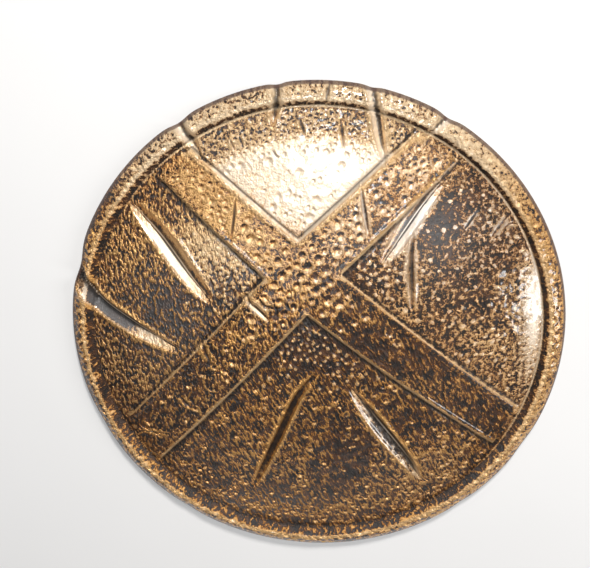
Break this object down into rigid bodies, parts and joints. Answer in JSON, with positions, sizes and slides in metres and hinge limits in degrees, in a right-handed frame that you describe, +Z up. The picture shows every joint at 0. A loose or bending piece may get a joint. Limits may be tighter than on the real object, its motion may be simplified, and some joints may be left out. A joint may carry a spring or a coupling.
{
  "type": "hoplite shield",
  "caption": "Round domed costume shield with a raised rim, two crossing bands, moulded battle damage, an arm strap and a hand grip inside.",
  "frame": {"origin": "bottom centre: the middle of the rim's foot, on the plane it lies on", "axes": "+Z up out of the dome, +Y towards the top of the shield as pictured, +X to the right as pictured"},
  "size_m": [0.5, 0.5, 0.0502],
  "materials": {
    "shell": "moulded plastic painted as antique bronze, dark in the hollows, under gloss lacquer; bare dark brown inside",
    "strap": "black woven webbing",
    "grip": "black moulded grip, matt",
    "rivet": "blackened rivet"
  },
  "bodies": {
    "root": {"shell": "shell", "arm_strap": "strap", "hand_grip": "grip", "strap_rivet_1": "rivet", "strap_rivet_2": "rivet", "grip_rivet_1": "rivet", "grip_rivet_2": "rivet"}
  },
  "joints": []
}
